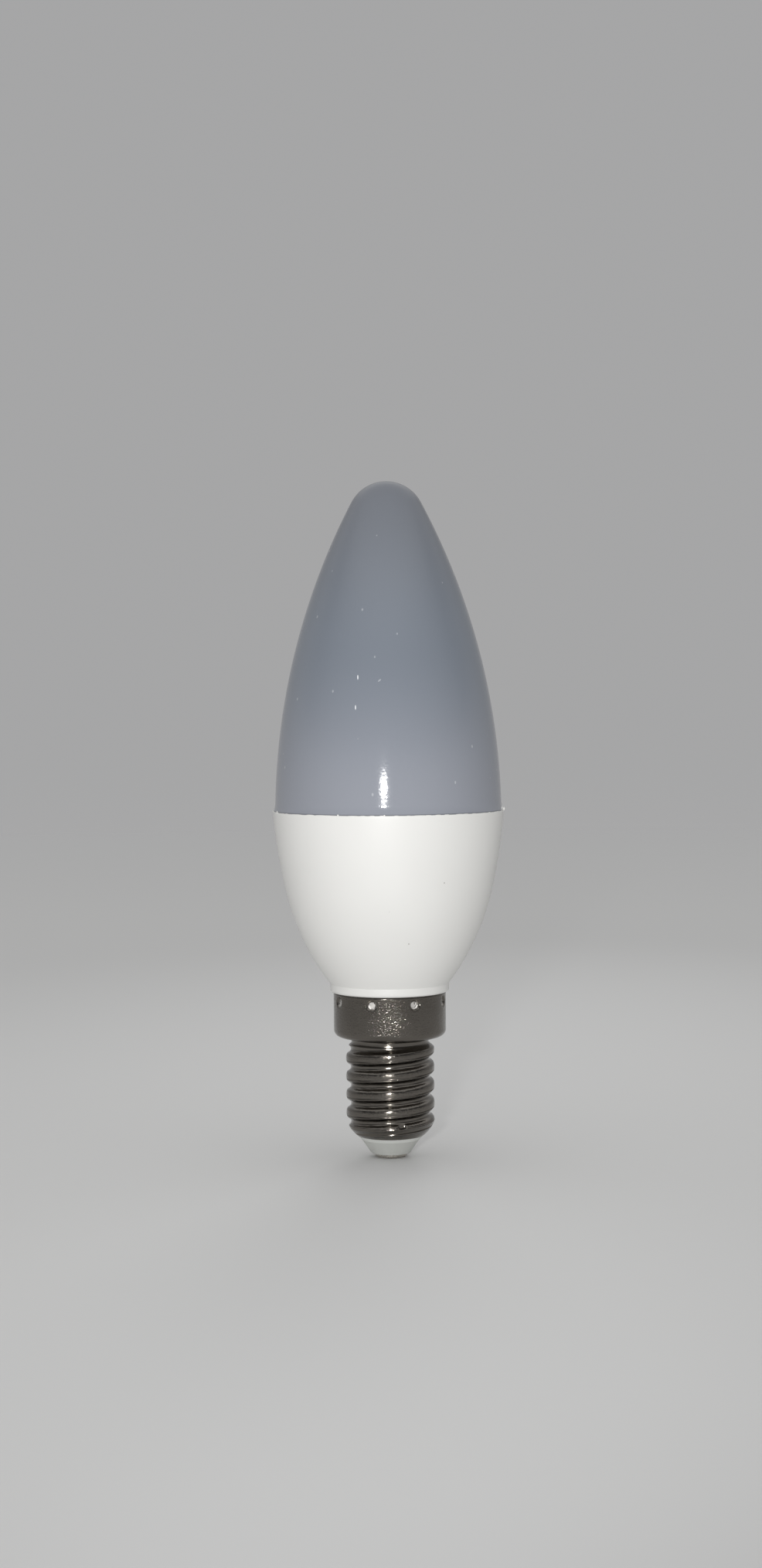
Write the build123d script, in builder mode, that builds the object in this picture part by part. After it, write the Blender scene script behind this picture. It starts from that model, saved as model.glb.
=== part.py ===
from build123d import *
import os
from math import asin, cos, radians, sin, sqrt

# Candle lamp: an opal dome on a white moulded body, standing on a small screw cap.
# The origin is the centre of the contact's flat face, +Z points to the dome's tip, -Y is the front.
# All sizes are in millimetres, heights are along Z, and sections are drawn as (radius, height).

# Clearances
fit_gap = 0.05  # around each piece that stands inside another one
end_gap = 0.1  # below a plug or a neck that must not touch the bottom of its seat

# Centre contact, a headed pin
contact_head_d = 5.0
contact_head_h = 0.6
contact_head_round = 0.25
contact_shank_d = 1.6

# Insulator, a cone below the cap with a lip that grips the cap's floor
insulator_foot_margin = 0.55  # around the contact's head
insulator_foot_round = 0.3
insulator_cone_h = 2.15
insulator_band_h = 0.6
insulator_band_w = 0.65  # the band above the cone flares by this much
insulator_grip = 0.5  # width of the cap's floor between the cone and the lip
insulator_lip_h = 1.0

# Screw cap, formed from thin sheet
sheet = 0.3
cap_h = 22.35
cap_edge_round = 0.1
toe_w = 1.7  # rounded foot between the floor and the thread
toe_h = 2.4
thread_crest_d = 13.8
thread_depth = 0.8
thread_pitch = 2.822
crest_round = 1.0
crest_land = 0.4
groove_start_drop = 0.26  # below the top of the toe
groove_start_turn = 180.0
relief_w = 1.5  # plain groove between the thread and the skirt
relief_extra = 0.1  # deeper than the thread's root
relief_corner = 0.4
skirt_d = 17.4
skirt_h = 7.2
skirt_rise = 0.4  # slope of the skirt's underside
skirt_round = 1.1

# Dents that hold the cap on the body
crimp_count = 8
crimp_start_turn = 26.0
crimp_margin = 0.2  # between a dent and the skirt's top edge
crimp_disc_d = 1.25
crimp_mouth_d = 2.1
crimp_depth = 0.45

# Punch mark on the lowest crest
punch_turn = -75.0
punch_rise = 0.15  # above the top of the toe
punch_d = 1.1
punch_depth = 0.12

# Housing, a flared body with a collar
collar_w = 0.5  # stands out beyond the skirt
collar_h = 1.3
collar_round = 0.4
rim_d = 35.7
hip_w = 1.77  # the hip lies this far inside the rim
hip_drop = 11.75  # and this far below it
rim_taper = 4.7  # degrees
rim_round = 0.12
housing_h = 26.7  # from the collar's top to the rim
rim_wall = 1.65
socket_depth = 2.5

# Diffuser, a tapering dome with a rounded tip
dome_h = 50.7
dome_belly_drop = 1.2  # the flank's widest section lies this far below the rim
tip_round = 6.1
rim_step = 0.15  # the dome's foot lies this far inside the rim
foot_flare_w = 0.2
foot_flare_h = 1.6

# Heights
floor_z = contact_head_h + insulator_cone_h + insulator_band_h
cap_top_z = floor_z + cap_h
collar_top_z = cap_top_z + collar_h
rim_z = collar_top_z + housing_h
tip_z = rim_z + dome_h

# Radii and heights that several pieces share
crest_r = thread_crest_d / 2
root_r = crest_r - thread_depth
relief_r = root_r - relief_extra
skirt_r = skirt_d / 2
floor_r = crest_r - toe_w
toe_z = floor_z + toe_h
groove_z = toe_z - groove_start_drop
skirt_z = cap_top_z - skirt_h
insulator_top_z = floor_z + sheet + insulator_lip_h
crimp_z = cap_top_z - crimp_margin - crimp_mouth_d / 2
rim_r = rim_d / 2
socket_r = rim_r - rim_wall
collar_r = skirt_r + collar_w

# The toe is one arc that leaves the crest line upright and ends at the floor's edge
toe_round = (toe_w**2 + toe_h**2) / (2 * toe_w)
inner_floor_r = crest_r - toe_round + sqrt((toe_round - sheet) ** 2 - (toe_h - sheet) ** 2)
insulator_lip_r = inner_floor_r - fit_gap
insulator_neck_r = insulator_lip_r - insulator_grip

# The crimps' sides keep one slope on both faces of the sheet
crimp_slope = (crimp_mouth_d - crimp_disc_d) / 2 / crimp_depth
crimp_growth = sqrt(1 + crimp_slope**2) - crimp_slope

cutter_reach = 0.5  # how far a cutting shape stands out of the surface that it cuts


def cap_section() -> Sketch:
    """Section of the cap's outer form, drawn past its axis and past its open top."""
    top_z = cap_top_z + cutter_reach
    with BuildSketch(Plane.XZ) as section:
        with BuildLine():
            toe = TangentArc((crest_r, toe_z), (floor_r, floor_z), tangent=(0, -1))
            wall = FilletPolyline(
                (crest_r, toe_z),
                (crest_r, skirt_z - relief_w),
                (relief_r, skirt_z - relief_w / 2),
                (relief_r, skirt_z),
                (skirt_r, skirt_z + skirt_rise),
                (skirt_r, top_z),
                radius=(relief_corner, relief_corner, relief_corner, skirt_round),
            )
            Polyline(wall @ 1, (-crest_r, top_z), (-crest_r, floor_z), toe @ 1)
        make_face()
    return section.sketch


def thread_groove(grow: float) -> Part:
    """Tool for the rolled groove at turn 0, made larger by grow for the inside of the sheet.

    The groove starts on a straight run that leaves the cap as a tangent, so that it fades out.
    """
    crest_sag = crest_round - sqrt(crest_round**2 - (crest_land / 2) ** 2)
    rise = thread_depth + crest_sag
    centres_apart = ((thread_pitch / 2) ** 2 + rise**2) / (2 * rise)
    root_round = centres_apart - crest_round
    lean = asin(thread_pitch / 2 / centres_apart)
    turn_z = (root_round + grow) * sin(lean)
    turn_r = root_r + root_round - (root_round + grow) * cos(lean)
    crest_arc = crest_round - grow
    half_land = sqrt(crest_arc**2 - (crest_arc - crest_sag) ** 2)
    run_out = sqrt(crest_r**2 - root_r**2) + cutter_reach
    groove_h = skirt_z - groove_z

    with BuildPart() as groove:
        with BuildLine():
            way = Helix(pitch=thread_pitch, height=groove_h, radius=root_r, mode=Mode.PRIVATE)
        with BuildSketch(Plane.XZ) as section:
            with BuildLine():
                root = TangentArc((root_r - grow, 0), (turn_r, turn_z), tangent=(0, 1))
                edge = (crest_r - grow, thread_pitch / 2 - half_land)
                crest = TangentArc(root @ 1, edge, tangent=root % 1)
                side = Line(crest @ 1, crest @ 1 + (crest % 1) * half_land / 2)
                outer_r = crest_r + cutter_reach
                Polyline(side @ 1, (outer_r, (side @ 1).Y), (outer_r, 0))
                mirror(about=Plane.XZ)
            make_face()
        sweep(path=way, is_frenet=True)
        extrude(section.sketch, amount=run_out, dir=-(way % 0))
        split(bisect_by=Plane.XY.offset(groove_h - fit_gap + grow), keep=Keep.BOTTOM)
    return groove.part


def crimp_tools(grow: float, outer_r: float) -> Part:
    """Ring of cones that press the crimps, made larger by grow for what lies inside the sheet."""
    disc_r = crimp_disc_d / 2 + grow * crimp_growth
    inner_r = skirt_r - crimp_depth - grow
    length = outer_r - inner_r
    with BuildPart() as tools:
        with Locations((0, 0, crimp_z)):
            with PolarLocations(inner_r, crimp_count, crimp_start_turn):
                Cone(
                    disc_r,
                    disc_r + length * crimp_slope,
                    length,
                    rotation=(0, 90, 0),
                    align=(Align.CENTER, Align.CENTER, Align.MIN),
                )
    return tools.part


# Centre contact
with BuildPart() as centre_contact:
    Cylinder(contact_head_d / 2, contact_head_h, align=(Align.CENTER, Align.CENTER, Align.MIN))
    fillet(centre_contact.edges().sort_by(Axis.Z)[0], contact_head_round)
    with BuildSketch(Plane.XY.offset(contact_head_h)):
        Circle(contact_shank_d / 2)
    extrude(amount=insulator_top_z - contact_head_h)

# Insulator
with BuildPart() as insulator:
    with BuildSketch(Plane.XZ):
        with BuildLine():
            bore_r = contact_shank_d / 2 + fit_gap
            foot_r = contact_head_d / 2 + insulator_foot_margin
            band_z = contact_head_h + insulator_cone_h
            outside = FilletPolyline(
                (bore_r, contact_head_h),
                (foot_r, contact_head_h),
                (floor_r - insulator_band_w, band_z),
                radius=insulator_foot_round,
            )
            Polyline(
                outside @ 1,
                (floor_r, floor_z),
                (insulator_neck_r, floor_z),
                (insulator_neck_r, floor_z + sheet),
                (insulator_lip_r, floor_z + sheet),
                (insulator_lip_r, insulator_top_z),
                (bore_r, insulator_top_z),
                outside @ 0,
            )
        make_face()
    revolve(axis=Axis.Z)

# Room inside the cap's sheet
with BuildPart() as cap_room:
    with BuildSketch(Plane.XZ):
        add(cap_section())
        offset(amount=-sheet, kind=Kind.INTERSECTION)
        split(bisect_by=Plane.YZ)
    revolve(axis=Axis.Z)
    with Locations((0, 0, groove_z)):
        add(thread_groove(sheet), rotation=(0, 0, groove_start_turn), mode=Mode.SUBTRACT)
    add(crimp_tools(sheet, skirt_r), mode=Mode.SUBTRACT)
    with Locations((0, 0, floor_z)):
        Cylinder(insulator_neck_r + fit_gap, toe_h, align=(Align.CENTER, Align.CENTER, Align.MIN))

# Screw cap
with BuildPart() as screw_cap:
    with BuildSketch(Plane.XZ):
        add(cap_section())
        split(bisect_by=Plane.YZ)
    revolve(axis=Axis.Z)
    split(bisect_by=Plane.XY.offset(cap_top_z), keep=Keep.BOTTOM)
    fillet(screw_cap.edges().sort_by(Axis.Z)[-1], cap_edge_round)
    with Locations((0, 0, groove_z)):
        add(thread_groove(0), rotation=(0, 0, groove_start_turn), mode=Mode.SUBTRACT)
    add(crimp_tools(0, skirt_r + cutter_reach), mode=Mode.SUBTRACT)
    with Locations((0, 0, toe_z + punch_rise)):
        with PolarLocations(crest_r - punch_depth, 1, punch_turn):
            Cylinder(
                punch_d / 2,
                punch_depth + cutter_reach,
                rotation=(0, 90, 0),
                align=(Align.CENTER, Align.CENTER, Align.MIN),
                mode=Mode.SUBTRACT,
            )
    add(cap_room.part, mode=Mode.SUBTRACT)

# Housing
with BuildPart() as housing:
    with BuildSketch(Plane.XZ):
        with BuildLine():
            neck_r = relief_r - sheet - fit_gap
            shank_r = skirt_r - sheet - fit_gap
            neck_z = insulator_top_z + end_gap
            shank_z = skirt_z + skirt_rise + skirt_round
            rim = Line((socket_r, rim_z), (rim_r, rim_z))
            rim_way = (-sin(radians(rim_taper)), -cos(radians(rim_taper)))
            flare = TangentArc(rim @ 1, (rim_r - hip_w, rim_z - hip_drop), tangent=rim_way)
            waist = TangentArc(flare @ 1, (collar_r, collar_top_z), tangent=flare % 1)
            Polyline(
                waist @ 1,
                (collar_r, cap_top_z),
                (shank_r, cap_top_z),
                (shank_r, shank_z),
                (neck_r, shank_z),
                (neck_r, neck_z),
                (0, neck_z),
                (0, rim_z - socket_depth),
                (socket_r, rim_z - socket_depth),
                rim @ 0,
            )
        make_face()
    revolve(axis=Axis.Z)
    for edge_z, edge_round in ((cap_top_z, collar_round), (rim_z, rim_round)):
        level_edges = housing.edges().filter_by_position(Axis.Z, edge_z, edge_z)
        fillet(level_edges.sort_by(SortBy.RADIUS)[-1], edge_round)
    add(crimp_tools(sheet + fit_gap, skirt_r - sheet), mode=Mode.SUBTRACT)

# Diffuser
with BuildPart() as diffuser:
    with BuildSketch(Plane.XZ):
        with BuildLine():
            plug_r = socket_r - fit_gap
            plug_z = rim_z - socket_depth + end_gap
            flare_r = rim_r - rim_step
            dome_r = flare_r - foot_flare_w
            belly_z = rim_z - dome_belly_drop
            flank_reach = tip_z - tip_round - belly_z
            flank_round = (dome_r**2 + flank_reach**2 - tip_round**2) / (2 * (dome_r - tip_round))
            lean = asin(flank_reach / (flank_round - tip_round))
            foot_z = rim_z + foot_flare_h
            foot_r = dome_r - flank_round + sqrt(flank_round**2 - (foot_z - belly_z) ** 2)
            foot_way = Vector(belly_z - foot_z, flank_round - dome_r + foot_r)
            shoulder = (tip_round * cos(lean), tip_z - tip_round + tip_round * sin(lean))
            flank = TangentArc((foot_r, foot_z), shoulder, tangent=foot_way)
            TangentArc(flank @ 1, (0, tip_z), tangent=flank % 1)
            TangentArc(flank @ 0, (flare_r, rim_z), tangent=-foot_way)
            Polyline(
                (flare_r, rim_z),
                (plug_r, rim_z),
                (plug_r, plug_z),
                (0, plug_z),
                (0, tip_z),
            )
        make_face()
    revolve(axis=Axis.Z)

os.makedirs("parts", exist_ok=True)
for name, piece in (
    ("diffuser", diffuser),
    ("housing", housing),
    ("screw_cap", screw_cap),
    ("insulator", insulator),
    ("centre_contact", centre_contact),
):
    piece.part.label = name
    export_step(piece.part, f"parts/{name}.step")
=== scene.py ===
"""Looks of a candle lamp: an opal dome on a white moulded body with a nickel screw cap.

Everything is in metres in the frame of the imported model: the origin is the centre of the contact's
face, +Z points to the dome's tip and -Y is the front. Half sections are drawn as (radius, height).
"""

import logging
import math
from abc import ABC, abstractmethod
from collections.abc import Mapping, Sequence
from dataclasses import dataclass
from enum import Enum
from typing import ClassVar

import bpy
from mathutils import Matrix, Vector


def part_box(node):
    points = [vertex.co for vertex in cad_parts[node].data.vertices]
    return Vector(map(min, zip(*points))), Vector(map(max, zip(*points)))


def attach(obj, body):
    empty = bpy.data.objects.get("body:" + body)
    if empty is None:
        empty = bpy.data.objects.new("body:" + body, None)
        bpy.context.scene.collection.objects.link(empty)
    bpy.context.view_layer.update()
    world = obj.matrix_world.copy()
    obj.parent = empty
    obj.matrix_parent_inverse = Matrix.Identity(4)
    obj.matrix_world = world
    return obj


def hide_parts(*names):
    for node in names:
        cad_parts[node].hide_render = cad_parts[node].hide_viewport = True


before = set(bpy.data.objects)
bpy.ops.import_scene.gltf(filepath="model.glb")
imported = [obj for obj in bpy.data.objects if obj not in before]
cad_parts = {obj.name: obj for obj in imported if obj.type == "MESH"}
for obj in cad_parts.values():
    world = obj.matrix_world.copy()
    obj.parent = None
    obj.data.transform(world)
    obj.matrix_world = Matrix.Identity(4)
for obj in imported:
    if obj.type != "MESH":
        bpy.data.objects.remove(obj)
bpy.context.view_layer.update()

log = logging.getLogger("candle_lamp")

MM = 0.001
BODY = "root"
SHARP_ANGLE = math.radians(35)
GRAIN_MIDDLE = 0.5
INSET = "Inset"
STRUCK_AND_HIGHLIGHT = "Struck And Highlight"

Point = tuple[float, float]
Triple = tuple[float, float, float]
Colour = tuple[float, float, float, float]


class SocketKind(Enum):
    """Kinds of socket that the node groups have."""

    GEOMETRY = "NodeSocketGeometry"
    MATERIAL = "NodeSocketMaterial"
    INTEGER = "NodeSocketInt"
    NUMBER = "NodeSocketFloat"
    VECTOR = "NodeSocketVector"


def mm(x: float, y: float, z: float) -> Triple:
    """Turns three lengths in millimetres into metres."""
    return (x * MM, y * MM, z * MM)


def tangent_arc(start: Point, end: Point, way: Point, spans: int) -> list[Point]:
    """Divides the arc that leaves its start along a given way.

    Args:
        start: First point of the arc.
        end: Last point of the arc.
        way: Direction in which the arc leaves its start.
        spans: Number of equal spans.

    Returns:
        The points from the start to the end, both among them.
    """
    chord = Vector(end) - Vector(start)
    ahead = Vector(way).normalized()
    side = Vector((-ahead.y, ahead.x))
    half_turn = math.atan2(chord.dot(side), chord.dot(ahead))
    radius = chord.length / (2 * math.sin(half_turn))
    points = []
    for step in range(spans + 1):
        turn = 2 * half_turn * step / spans
        place = Vector(start) + radius * (math.sin(turn) * ahead + (1 - math.cos(turn)) * side)
        points.append((place.x, place.y))
    return points


def rounded(corners: Sequence[tuple[Point, float]], spans: int) -> list[Point]:
    """Draws a path of straight lines with rounded corners.

    Args:
        corners: Each corner with its radius, where 0 keeps it sharp. The ends are sharp.
        spans: Number of spans in each rounding.

    Returns:
        The points of the path.
    """
    points = [corners[0][0]]
    for (before, _), (corner, radius), (after, _) in zip(corners, corners[1:], corners[2:]):
        if radius == 0:
            points.append(corner)
            continue
        back = (Vector(before) - Vector(corner)).normalized()
        on = (Vector(after) - Vector(corner)).normalized()
        setback = radius / math.tan(back.angle(on) / 2)
        start = Vector(corner) + back * setback
        end = Vector(corner) + on * setback
        points += tangent_arc(tuple(start), tuple(end), tuple(-back), spans)
    points.append(corners[-1][0])
    return points


def even_rows(path: Sequence[Point], span: float, low: float, high: float) -> list[Point]:
    """Divides the long spans of a path between two heights.

    Args:
        path: Points of the path.
        span: Longest span to leave there.
        low: Lower height.
        high: Upper height.

    Returns:
        The path with its new points.
    """
    points = [path[0]]
    for start, end in zip(path, path[1:]):
        inside = low <= min(start[1], end[1]) and max(start[1], end[1]) <= high
        count = math.ceil(math.dist(start, end) / span) if inside else 1
        for step in range(1, count):
            place = Vector(start).lerp(Vector(end), step / count)
            points.append((place.x, place.y))
        points.append(end)
    return points


def offset_path(path: Sequence[Point], distance: float) -> list[Point]:
    """Moves a path to its left, as the inner face of a sheet lies beside the outer one.

    Args:
        path: Points of the path, none of them doubled.
        distance: How far the path moves.

    Returns:
        One moved point for each point of the path.
    """
    sides = []
    for start, end in zip(path, path[1:]):
        ahead = (Vector(end) - Vector(start)).normalized()
        sides.append(Vector((-ahead.y, ahead.x)))
    moved = []
    for place, before, after in zip(path, sides[:1] + sides, sides + sides[-1:]):
        shift = (before + after) * (distance / (1 + before.dot(after)))
        moved.append((place[0] + shift.x, place[1] + shift.y))
    return moved


def solid_rows(path: Sequence[Point]) -> list[Vector]:
    """Lifts the points of a solid's half section into section rows with no inset."""
    return [Vector((radius, 0.0, height)) for radius, height in path]


@dataclass(frozen=True)
class Term:
    """A value that a node tree works out, written with plain operators."""

    wiring: "Wiring"
    socket: bpy.types.NodeSocket

    def __add__(self, other: "Term | float") -> "Term":
        """Adds two values."""
        return self.wiring.math("ADD", self, other)

    def __sub__(self, other: "Term | float") -> "Term":
        """Takes the other value from this one."""
        return self.wiring.math("SUBTRACT", self, other)

    def __rsub__(self, other: float) -> "Term":
        """Takes this value from a number."""
        return self.wiring.math("SUBTRACT", other, self)

    def __mul__(self, other: "Term | float") -> "Term":
        """Multiplies two values."""
        return self.wiring.math("MULTIPLY", self, other)

    def __truediv__(self, other: "Term | float") -> "Term":
        """Divides this value by the other one."""
        return self.wiring.math("DIVIDE", self, other)

    def __rtruediv__(self, other: float) -> "Term":
        """Divides a number by this value."""
        return self.wiring.math("DIVIDE", other, self)


class Wiring:
    """Adds nodes to one tree and links them."""

    def __init__(self, tree: bpy.types.NodeTree) -> None:
        """Keeps the tree."""
        self.tree = tree

    def add(self, kind: str, inputs: Mapping | None = None, **settings: object) -> bpy.types.Node:
        """Adds a node.

        Args:
            kind: Blender's name for the node's type.
            inputs: A value, Term or socket for each input, by its name or its number.
            settings: Properties of the node.

        Returns:
            The new node.
        """
        node = self.tree.nodes.new(kind)
        for name, value in settings.items():
            setattr(node, name, value)
        for key, value in (inputs or {}).items():
            self.feed(self.pick(node.inputs, key), value)
        return node

    def pick(self, sockets: Sequence[bpy.types.NodeSocket], key: str | int) -> bpy.types.NodeSocket:
        """Finds a socket in use by its name or its number.

        Args:
            sockets: Inputs or outputs of a node.
            key: Name or number of the socket.

        Returns:
            The socket.
        """
        if isinstance(key, int):
            return sockets[key]
        return next(socket for socket in sockets if socket.name == key and socket.enabled)

    def feed(self, socket: bpy.types.NodeSocket, value: object) -> None:
        """Links a Term or a socket to an input, or sets a plain value there.

        Args:
            socket: The input.
            value: What it gets.
        """
        source = value.socket if isinstance(value, Term) else value
        if isinstance(source, bpy.types.NodeSocket):
            self.tree.links.new(source, socket)
        else:
            socket.default_value = source

    def term(self, node: bpy.types.Node, output: str | int = 0) -> Term:
        """Takes a node's output as a value."""
        return Term(self, self.pick(node.outputs, output))

    def take(
        self, kind: str, inputs: Mapping | None = None, output: str | int = 0, **settings: object
    ) -> Term:
        """Adds a node and takes one of its outputs as a value."""
        return self.term(self.add(kind, inputs, **settings), output)

    def math(self, operation: str, *values: Term | float) -> Term:
        """Works out one step of a formula."""
        return self.take("ShaderNodeMath", dict(enumerate(values)), operation=operation)

    def vector_math(self, operation: str, *values: Term) -> Term:
        """Works out one step of a formula with vectors."""
        return self.take("ShaderNodeVectorMath", dict(enumerate(values)), operation=operation)

    def length(self, vector: Term) -> Term:
        """Measures a vector."""
        return self.take("ShaderNodeVectorMath", {0: vector}, "Value", operation="LENGTH")

    def split(self, vector: Term) -> tuple[Term, Term, Term]:
        """Takes a vector apart into X, Y and Z."""
        node = self.add("ShaderNodeSeparateXYZ", {0: vector})
        return self.term(node, "X"), self.term(node, "Y"), self.term(node, "Z")

    def vector(self, x: Term | float, y: Term | float, z: Term | float) -> Term:
        """Puts a vector together."""
        return self.take("ShaderNodeCombineXYZ", {"X": x, "Y": y, "Z": z})

    def distance(self, x: Term, y: Term) -> Term:
        """Measures how far two steps at right angles lead."""
        return self.math("SQRT", x * x + y * y)

    def clamp(self, value: Term, low: float, high: float) -> Term:
        """Keeps a value between two numbers."""
        return self.math("MAXIMUM", self.math("MINIMUM", value, high), low)

    def ramp(self, value: Term, start: Term | float, end: Term | float) -> Term:
        """Rises smoothly from 0 to 1 as a value goes from one number to another."""
        limits = {"Value": value, "From Min": start, "From Max": end}
        return self.take("ShaderNodeMapRange", limits, interpolation_type="SMOOTHSTEP")

    def band(self, value: Term, low: float, high: float, fade: float) -> Term:
        """Gives 1 between two numbers, with a smooth fade inside each of them, and 0 elsewhere."""
        return self.ramp(value, low, low + fade) * self.ramp(value, high, high - fade)

    def mix(self, share: Term, base: object, cover: object) -> Term:
        """Lays one colour over another."""
        colours = {"Factor": share, "A": base, "B": cover}
        return self.take("ShaderNodeMix", colours, "Result", data_type="RGBA")


class NodeGroup(ABC):
    """A node group with named inputs and one output."""

    name: ClassVar[str]
    tree_type: ClassVar[str]
    inputs: ClassVar[dict[str, SocketKind]]
    output: ClassVar[str]
    output_kind: ClassVar[SocketKind]

    def __init__(self) -> None:
        """Builds the group."""
        self.tree = bpy.data.node_groups.new(self.name, self.tree_type)
        sockets = self.tree.interface
        sockets.new_socket(self.output, in_out="OUTPUT", socket_type=self.output_kind.value)
        for name, kind in self.inputs.items():
            sockets.new_socket(name, in_out="INPUT", socket_type=kind.value)
        self.wiring = Wiring(self.tree)
        source = self.wiring.add("NodeGroupInput")
        given = {name: self.wiring.term(source, name) for name in self.inputs}
        self.wiring.add("NodeGroupOutput", {self.output: self.result(given)})

    @abstractmethod
    def result(self, given: dict[str, Term]) -> Term:
        """Works out the group's output.

        Args:
            given: The group's inputs by name.

        Returns:
            The output.
        """


class ShapeTree(NodeGroup):
    """A geometry tree with named sizes that ends in plain faces with their finish."""

    tree_type = "GeometryNodeTree"
    output = "Geometry"
    output_kind = SocketKind.GEOMETRY
    basis: ClassVar[dict[str, SocketKind]] = {
        "Geometry": SocketKind.GEOMETRY,
        "Material": SocketKind.MATERIAL,
    }

    def result(self, given: dict[str, Term]) -> Term:
        """Makes the shape's copies real and gives it its finish.

        Args:
            given: The tree's inputs by name.

        Returns:
            Plain faces with their finish.
        """
        plain = self.wiring.take("GeometryNodeRealizeInstances", {"Geometry": self.shape(given)})
        dressing = {"Geometry": plain, "Material": given["Material"]}
        return self.wiring.take("GeometryNodeSetMaterial", dressing)

    @abstractmethod
    def shape(self, given: dict[str, Term]) -> Term:
        """Makes the tree's own geometry from its inputs."""

    def put_on(self, piece: bpy.types.Object, finish: bpy.types.Material, sizes: Mapping) -> None:
        """Adds this tree to a piece as a modifier with its sizes set.

        Args:
            piece: Object that the tree shapes.
            finish: Material of the result.
            sizes: A value for each named input.
        """
        modifier = piece.modifiers.new(self.name, "NODES")
        modifier.node_group = self.tree
        for name, value in {"Material": finish, **sizes}.items():
            modifier[self.tree.interface.items_tree[name].identifier] = value

    def cylinder_place(self) -> tuple[Term, Term, Term]:
        """Reads each point's angle about Z, its radius and its height."""
        x, y, z = self.wiring.split(self.wiring.take("GeometryNodeInputPosition"))
        return self.wiring.math("ARCTAN2", y, x), self.wiring.distance(x, y), z

    def kept(self, name: str) -> Term:
        """Reads a value that each point keeps."""
        return self.wiring.take("GeometryNodeInputNamedAttribute", {"Name": name})

    def keep(self, geometry: Term, name: str, value: Term) -> Term:
        """Gives each point of a mesh a value to keep."""
        note = {"Geometry": geometry, "Name": name, "Value": value}
        return self.wiring.take("GeometryNodeStoreNamedAttribute", note)

    def turned_to(self, geometry: Term, angle: Term, radius: Term, height: Term) -> Term:
        """Moves each point to a place about Z.

        Args:
            geometry: Mesh to move.
            angle: Angle of each point about Z.
            radius: Distance of each point from Z.
            height: Height of each point.

        Returns:
            The moved mesh.
        """
        east = radius * self.wiring.math("COSINE", angle)
        north = radius * self.wiring.math("SINE", angle)
        place = {"Geometry": geometry, "Position": self.wiring.vector(east, north, height)}
        return self.wiring.take("GeometryNodeSetPosition", place)


class Lathe(ShapeTree):
    """Turns a half section about Z: its points hold the radius in X, the inset in Y, the height in Z."""

    name = "Lathe"
    inputs = {**ShapeTree.basis, "Segments": SocketKind.INTEGER}
    weld: ClassVar[float] = 0.001 * MM
    index_guard: ClassVar[float] = 0.5

    def shape(self, given: dict[str, Term]) -> Term:
        """Wraps a grid round the axis, one row of it for each point of the section.

        Args:
            given: The tree's inputs by name.

        Returns:
            The turned mesh.
        """
        wiring = self.wiring
        section = given["Geometry"]
        rows = wiring.take("GeometryNodeAttributeDomainSize", {0: section}, "Point Count")
        counts = {"Vertices X": given["Segments"] + 1, "Vertices Y": rows}
        grid = wiring.take("GeometryNodeMeshGrid", counts, "Mesh")
        index = wiring.take("GeometryNodeInputIndex")
        column = wiring.math("FLOOR", (index + self.index_guard) / rows)
        place = wiring.take("GeometryNodeInputPosition")
        spot = {"Geometry": section, "Value": place, "Index": index - column * rows}
        sample = wiring.take("GeometryNodeSampleIndex", spot, "Value", data_type="FLOAT_VECTOR")
        radius, inset, height = wiring.split(sample)
        angle = column * math.tau / given["Segments"]
        turned = self.turned_to(self.keep(grid, INSET, inset), angle, radius, height)
        return wiring.take("GeometryNodeMergeByDistance", {"Geometry": turned, "Distance": self.weld})


class RolledThread(ShapeTree):
    """Rolls a round-bottomed screw groove into a turned sheet."""

    name = "Rolled Thread"
    numbers: ClassVar[tuple[str, ...]] = (
        "Pitch",
        "Root Centre",
        "Root Round",
        "Crest Centre",
        "Crest Round",
        "Lean",
        "Start Turn",
        "Start Height",
        "End Height",
        "Softness",
    )
    inputs = {**ShapeTree.basis, **dict.fromkeys(numbers, SocketKind.NUMBER)}
    run_out: ClassVar[float] = 1 / 6
    clear: ClassVar[float] = 1.0

    def rise(self, arc: Term, aside: Term) -> Term:
        """Gives the height of a round arc at a distance from its middle."""
        return self.wiring.math("SQRT", self.wiring.math("MAXIMUM", arc * arc - aside * aside, 0.0))

    def shape(self, given: dict[str, Term]) -> Term:
        """Draws each point in to the groove's arcs, with a tangent run-out before the start.

        Args:
            given: The tree's inputs by name.

        Returns:
            The rolled mesh.
        """
        wiring = self.wiring
        angle, radius, height = self.cylinder_place()
        inset = self.kept(INSET)
        pitch = given["Pitch"]
        lap = wiring.math("FRACT", (angle - given["Start Turn"]) / math.tau)
        level = height - given["Start Height"] - pitch * lap
        turn = wiring.math("ROUND", level / pitch)
        beside = wiring.math("ABSOLUTE", level - turn * pitch)
        before = wiring.clamp(turn + lap, -self.run_out, 0.0)
        root_arc = given["Root Round"] + inset
        root = given["Root Centre"] - self.rise(root_arc, beside)
        crest_arc = given["Crest Round"] - inset
        crest = given["Crest Centre"] + self.rise(crest_arc, pitch / 2 - beside)
        on_root = wiring.math("LESS_THAN", beside, root_arc * given["Lean"])
        groove = crest + on_root * (root - crest)
        beyond = wiring.math("GREATER_THAN", height, given["End Height"] + inset)
        floor = groove / wiring.math("COSINE", before * math.tau) + beyond * self.clear
        rolled = wiring.math("SMOOTH_MIN", radius, floor, given["Softness"])
        return self.turned_to(given["Geometry"], angle, rolled, height)


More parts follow.
